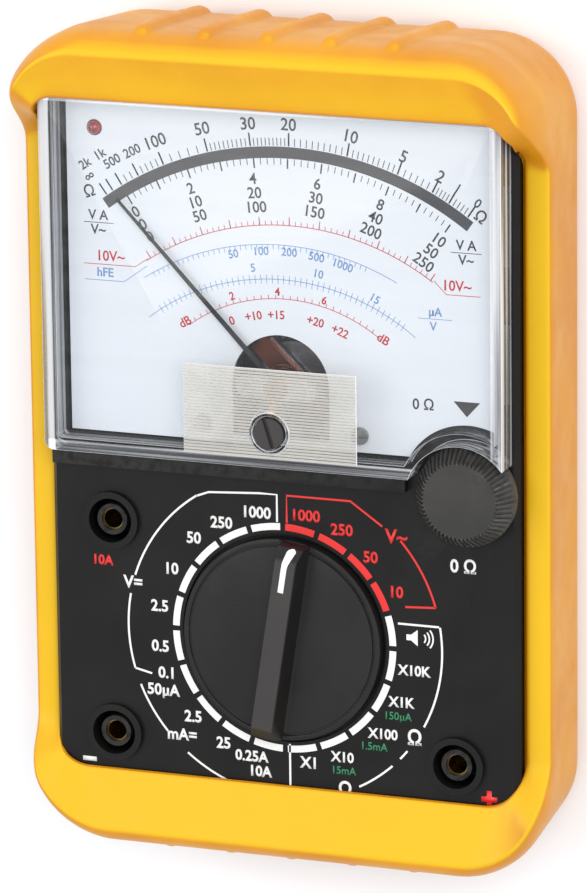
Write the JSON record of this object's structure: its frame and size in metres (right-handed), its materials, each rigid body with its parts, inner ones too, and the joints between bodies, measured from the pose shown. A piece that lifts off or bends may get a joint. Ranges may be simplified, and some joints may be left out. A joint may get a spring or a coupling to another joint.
{
  "type": "analog multimeter",
  "caption": "Analog moving-coil multimeter in a ribbed rubber holster, with a clear window, a rotary range selector, a zero-ohm knob and test-lead sockets.",
  "frame": {"origin": "on the resting plane under the middle of the holster, the meter lying on its back", "axes": "+Z out of the meter's face, +Y towards the scale end, +X to the reader's right"},
  "size_m": [0.1124, 0.1747, 0.0426],
  "materials": {
    "aluminium": "plain",
    "blue_trim": "moulded",
    "board": "phenolic laminate",
    "brass": "plain",
    "bronze": "phosphor bronze",
    "capacitor": "sleeved can",
    "case_black": "fine moulded texture",
    "cell_jacket": "printed sleeve, bare of text",
    "clear_cover": "clear polystyrene",
    "copper": "enamelled copper wire",
    "dial_white": "matt white enamel",
    "fuse_glass": "clear",
    "knob_black": "satin black",
    "knob_grey": "satin charcoal",
    "lamp_red": "tinted epoxy",
    "lead_red": "wire insulation",
    "magnet": "ground magnet",
    "part_dark": "moulded epoxy",
    "pointer_black": "black painted",
    "resistor": "lacquered",
    "rubber_yellow": "satin yellow rubber",
    "steel": "zinc plated"
  },
  "bodies": {
    "meter": {"aa_cells": "cell_jacket", "block_cell": "cell_jacket", "block_cell_leads": "lead_red", "block_cell_snap": "part_dark", "board_screws": "steel", "buzzer": "part_dark", "capacitor": "capacitor", "case_screws": "steel", "cell_contacts": "steel", "cell_leads": "lead_red", "circuit_board": "board", "continuity_lamp": "lamp_red", "core_magnet": "magnet", "dial_plate": "dial_white", "dial_screws": "steel", "diodes": "part_dark", "front_case": "case_black", "fuse_caps": "steel", "fuse_clips": "brass", "fuse_glass": "fuse_glass", "jack_sleeve_10a": "case_black", "jack_sleeve_minus": "case_black", "jack_sleeve_plus": "case_black", "jack_socket_10a": "brass", "jack_socket_minus": "brass", "jack_socket_plus": "brass", "lamp_leads": "lead_red", "lower_hairspring": "bronze", "lower_jewel_screw": "brass", "lower_spring_anchor": "brass", "movement_base": "case_black", "movement_leads": "lead_red", "potentiometer_body": "part_dark", "rear_case": "case_black", "resistors": "resistor", "rubber_holster": "rubber_yellow", "shunt": "bronze", "trimmer": "blue_trim", "upper_bridge": "aluminium", "upper_jewel_screw": "brass", "window_cover": "clear_cover", "yoke_ring": "steel"},
    "selector": {"selector_knob": "knob_black", "contact_carrier": "case_black", "detent_balls": "steel", "detent_springs": "steel", "selector_contacts": "bronze", "selector_clip": "steel"},
    "ohm_adjuster": {"ohm_adjust_knob": "knob_grey", "potentiometer_shaft": "part_dark"},
    "movement": {"coil_former": "aluminium", "coil_winding": "copper", "pivot_staffs": "steel", "pointer": "pointer_black", "balance_weights": "brass", "spring_collets": "brass"},
    "zero_screw": {"zero_adjust_screw": "knob_black"},
    "zero_arm": {"zero_adjust_arm": "bronze", "upper_hairspring": "bronze"}
  },
  "joints": [
    {"name": "selector_turn", "type": "hinge", "parent": "meter", "child": "selector", "pos_m": [0, -0.039, 0.03], "axis": [0, 0, 1], "continuous": true},
    {"name": "ohm_adjust_turn", "type": "hinge", "parent": "meter", "child": "ohm_adjuster", "pos_m": [0.0399, -0.0053, 0.032], "axis": [0, 0, 1], "range_deg": [-140, 140]},
    {"name": "needle_swing", "type": "hinge", "parent": "meter", "child": "movement", "pos_m": [0, 0.014, 0.0334], "axis": [0, 0, 1], "range_deg": [-90, 2], "stiffness_Nm_per_rad": 0.000006},
    {"name": "zero_screw_turn", "type": "hinge", "parent": "meter", "child": "zero_screw", "pos_m": [0, 0.0057, 0.0382], "axis": [0, 0, 1], "range_deg": [-60, 60]},
    {"name": "zero_arm_rock", "type": "hinge", "parent": "meter", "child": "zero_arm", "pos_m": [0, 0.014, 0.0352], "axis": [0, 0, 1], "range_deg": [-5, 5]}
  ],
  "couplings": [
    {"joint": "zero_arm_rock", "follows": "zero_screw_turn", "ratio": 0.08}
  ]
}
